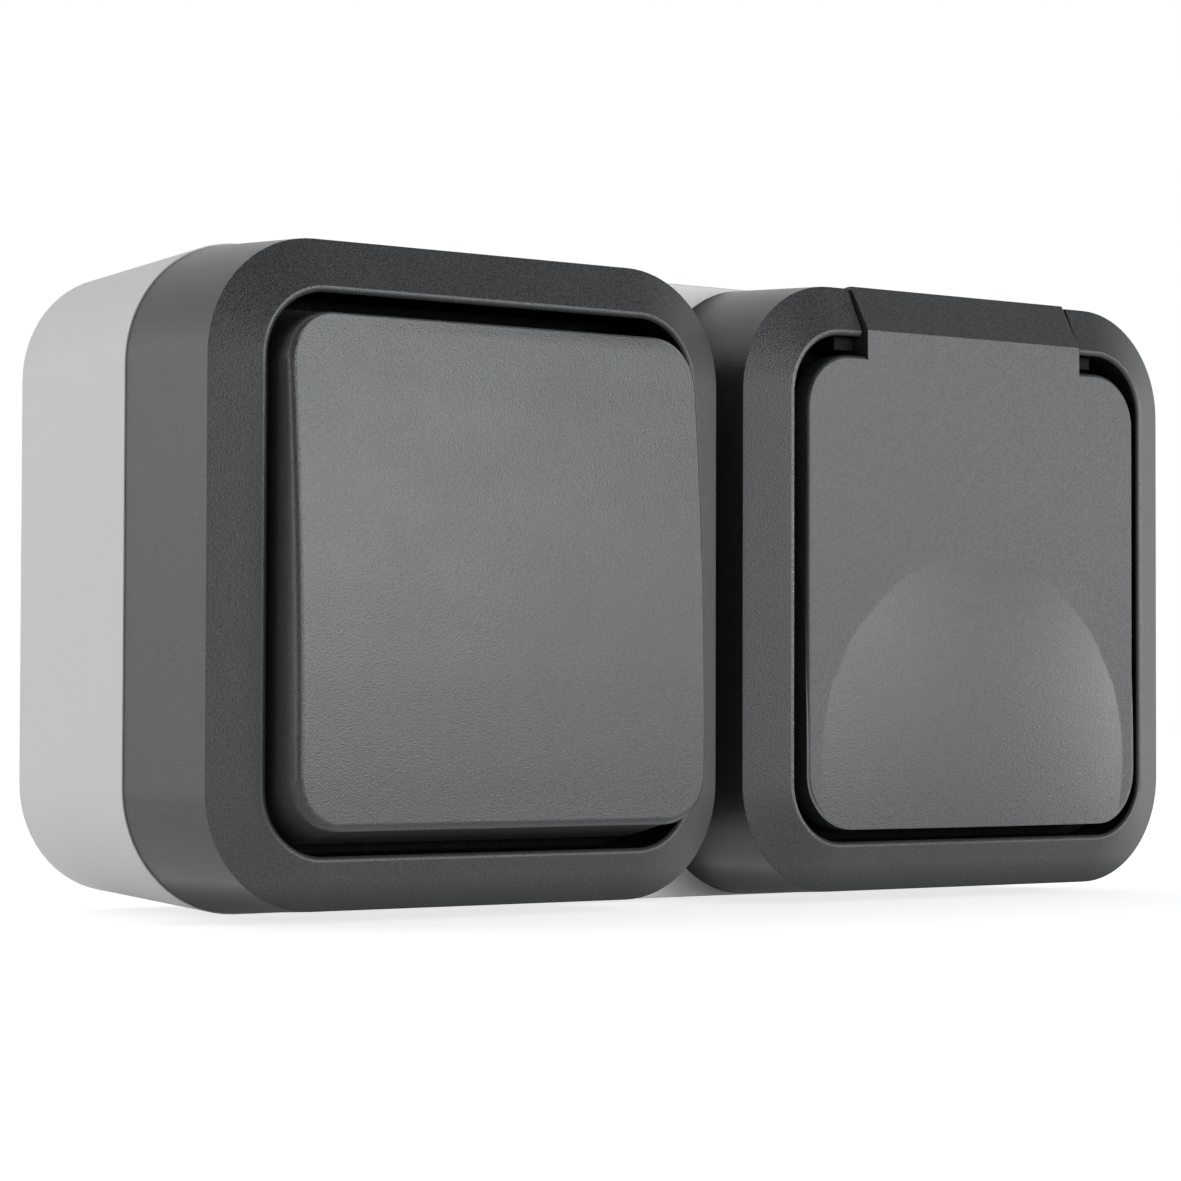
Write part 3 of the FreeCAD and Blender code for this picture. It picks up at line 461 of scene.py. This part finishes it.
def makePlateScrew():
    bm = mergedCopy(plateScrew["node"])
    joinFlats(bm, bm.verts, bm.edges)
    low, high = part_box(plateScrew["node"])
    centre = Vector(((low[0] + high[0]) / 2, low[1], (low[2] + high[2]) / 2))

    def headFaces():
        level = plateScrew["onHead"] * mm
        return [face for face in bm.faces if abs(face.calc_center_median().y - centre.y) < level]

    rim = list({edge for face in headFaces() for edge in face.edges})
    bmesh.ops.bevel(bm, geom=rim, offset=plateScrew["round"] * mm, affect="EDGES",
                    segments=plateScrew["roundSteps"], profile=0.5, material=-1)
    half = plateScrew["crossWidth"] / 2 * mm
    reach = plateScrew["crossReach"] * mm
    for across in (Vector((1, 0, 0)), Vector((0, 0, 1))):
        for step in (-reach, -half, half, reach):
            cut = headFaces()
            geom = cut + list({edge for face in cut for edge in face.edges})
            geom += list({vert for face in cut for vert in face.verts})
            bmesh.ops.bisect_plane(bm, geom=geom, dist=plateScrew["cutMerge"] * mm,
                                   plane_co=centre + across * step, plane_no=across)
    cross = []
    for face in headFaces():
        place = face.calc_center_median() - centre
        near, far = sorted((abs(place.x), abs(place.z)))
        if near < half and far < reach:
            cross.append(face)
    made = bmesh.ops.extrude_face_region(bm, geom=cross)
    bmesh.ops.delete(bm, geom=[face for face in cross if face.is_valid], context="FACES")
    sunk = [part for part in made["geom"] if isinstance(part, bmesh.types.BMVert)]
    bmesh.ops.translate(bm, verts=sunk, vec=(0, plateScrew["crossDepth"] * mm, 0))
    narrow = (plateScrew["taper"], 1, plateScrew["taper"])
    bmesh.ops.scale(bm, verts=sunk, vec=narrow, space=Matrix.Translation(-centre))
    print("plate screw:", len(cross), "faces sunk for its cross")
    shadeSmooth(bm, plateScrew["creases"])
    addSkin(bm, plateScrew["node"])


makePlateScrew()

# Camera at the photograph's place: metres and degrees, with the lens and sensor in millimetres
view = {"place": (-0.2718, -0.3792, -0.0138), "yaw": 36.77, "pitch": 1.75, "roll": 0.17,
        "lens": 108.5, "sensor": 36.0, "near": 0.01}


def makeCamera():
    data = bpy.data.cameras.new("photoCamera")
    data.sensor_width = view["sensor"]
    data.lens = view["lens"]
    data.clip_start = view["near"]
    yaw, pitch, roll = (math.radians(view[angle]) for angle in ("yaw", "pitch", "roll"))
    ahead = Vector((math.sin(yaw) * math.cos(pitch), math.cos(yaw) * math.cos(pitch), math.sin(pitch)))
    right = Vector((math.cos(yaw), -math.sin(yaw), 0))
    up = right.cross(ahead)
    side = right * math.cos(roll) + up * math.sin(roll)
    top = up * math.cos(roll) - right * math.sin(roll)
    turn = Matrix((side, top, -ahead)).transposed()
    camera = addObject("photoCamera", data)
    camera.matrix_world = Matrix.Translation(view["place"]) @ turn.to_4x4()
    bpy.context.scene.camera = camera


# Soft studio lamps: azimuth from straight ahead of the front towards +X, and elevation, in degrees
lamps = {
    "keySoftbox": {"azimuth": 21.0, "elevation": 12.5, "distance": 1.4,
                   "size": (0.90, 0.66), "watts": 15.0, "color": (0.965, 1.0, 1.0)},
    "sideSoftbox": {"azimuth": 66.0, "elevation": 3.0, "distance": 1.4,
                    "size": (0.20, 0.26), "watts": 5.0, "color": (1.0, 1.0, 1.0)},
    "frontFill": {"azimuth": -10.0, "elevation": 5.0, "distance": 1.4,
                  "size": (0.6, 0.6), "watts": 3.3, "color": (1.0, 1.0, 1.0)},
    "backLeftFill": {"azimuth": -120.0, "elevation": 6.0, "distance": 1.4,
                     "size": (0.9, 0.9), "watts": 7.0, "color": (1.0, 1.0, 1.0)},
}


def makeLamp(name, lamp):
    data = bpy.data.lights.new(name, "AREA")
    data.shape = "RECTANGLE"
    data.size, data.size_y = lamp["size"]
    data.energy = lamp["watts"]
    data.color = lamp["color"]
    azimuth = math.radians(lamp["azimuth"])
    elevation = math.radians(lamp["elevation"])
    level = math.cos(elevation)
    toward = Vector((level * math.sin(azimuth), -level * math.cos(azimuth), math.sin(elevation)))
    holder = addObject(name, data)
    holder.location = (cadLow + cadHigh) / 2 + toward * lamp["distance"]
    holder.rotation_euler = (-toward).to_track_quat("-Z", "Y").to_euler()


# Room: white backdrop behind the object, dim round the camera and dimmer overhead.
# The limits are heights and depths of a direction, from -1 to 1
room = {"backdrop": 1.0, "front": 0.14, "overhead": 0.03,
        "overheadLimits": (0.0, 0.7), "backdropLimits": (-0.3, 0.3)}


def makeRoom():
    world = bpy.data.worlds.new("whiteRoom")
    bpy.context.scene.world = world
    world.use_nodes = True
    tree = world.node_tree
    tree.nodes.clear()
    place = addNode(tree, "ShaderNodeTexCoord")
    split = addNode(tree, "ShaderNodeSeparateXYZ")
    link(tree, place, "Generated", split, 0)
    dim = addRange(tree, split, "Z", room["overheadLimits"], (room["front"], room["overhead"]),
                   interpolation_type="SMOOTHSTEP")
    behind = addRange(tree, split, "Y", room["backdropLimits"], (0.0, 1.0),
                      interpolation_type="SMOOTHSTEP")
    level = addNode(tree, "ShaderNodeMix", data_type="FLOAT")
    level.inputs[3].default_value = room["backdrop"]
    link(tree, behind, 0, level, 0)
    link(tree, dim, 0, level, 2)
    lit = addNode(tree, "ShaderNodeBackground")
    link(tree, level, 0, lit, "Strength")
    white = addNode(tree, "ShaderNodeBackground")
    for part in (lit, white):
        part.inputs["Color"].default_value = (1, 1, 1, 1)
    # camera and transmission rays see white all round, mirror rays only where the backdrop stands
    path = addNode(tree, "ShaderNodeLightPath")
    mirrored = addMath(tree, "MULTIPLY", path, "Is Glossy Ray", behind, 0)
    direct = addMath(tree, "MAXIMUM", path, "Is Camera Ray", path, "Is Transmission Ray")
    clear = addMath(tree, "MAXIMUM", mirrored, 0, direct, 0)
    seen = addNode(tree, "ShaderNodeMixShader")
    link(tree, clear, 0, seen, 0)
    link(tree, lit, 0, seen, 1)
    link(tree, white, 0, seen, 2)
    end = addNode(tree, "ShaderNodeOutputWorld")
    link(tree, seen, 0, end, 0)


# Pale floor under the lowest edge: camera and mirror rays see it nearly white, with the object's shadow
floor = {"size": 6.0, "gap": 0.5, "color": 0.86, "shadowShare": 0.45, "glow": 0.76, "roughness": 0.9}


def makeFloor():
    mesh = bpy.data.meshes.new("paleFloor")
    bm = bmesh.new()
    bmesh.ops.create_grid(bm, x_segments=1, y_segments=1, size=floor["size"] / 2)
    bmesh.ops.translate(bm, verts=bm.verts, vec=(0, 0, cadLow.z - floor["gap"] * mm))
    bm.to_mesh(mesh)
    bm.free()
    piece = addObject("paleFloor", mesh)
    material = bpy.data.materials.new("paleFloor")
    material.use_nodes = True
    tree = material.node_tree
    plain = tree.nodes["Principled BSDF"]
    bright = addNode(tree, "ShaderNodeBsdfPrincipled")
    for shader, color in ((plain, floor["color"]), (bright, floor["shadowShare"])):
        shader.inputs["Base Color"].default_value = (color, color, color, 1)
        shader.inputs["Roughness"].default_value = floor["roughness"]
        shader.inputs["Specular IOR Level"].default_value = 0.0
    bright.inputs["Emission Color"].default_value = (1, 1, 1, 1)
    bright.inputs["Emission Strength"].default_value = floor["glow"]
    path = addNode(tree, "ShaderNodeLightPath")
    direct = addMath(tree, "MAXIMUM", path, "Is Camera Ray", path, "Is Transmission Ray")
    clear = addMath(tree, "MAXIMUM", path, "Is Glossy Ray", direct, 0)
    seen = addNode(tree, "ShaderNodeMixShader")
    link(tree, clear, 0, seen, 0)
    link(tree, plain, 0, seen, 1)
    link(tree, bright, 0, seen, 2)
    link(tree, seen, 0, tree.nodes["Material Output"], "Surface")
    piece.data.materials.append(material)


makeCamera()
makeRoom()
makeFloor()
for name, lamp in lamps.items():
    makeLamp(name, lamp)
bpy.context.scene.view_settings.view_transform = "Standard"
print("studio ready")
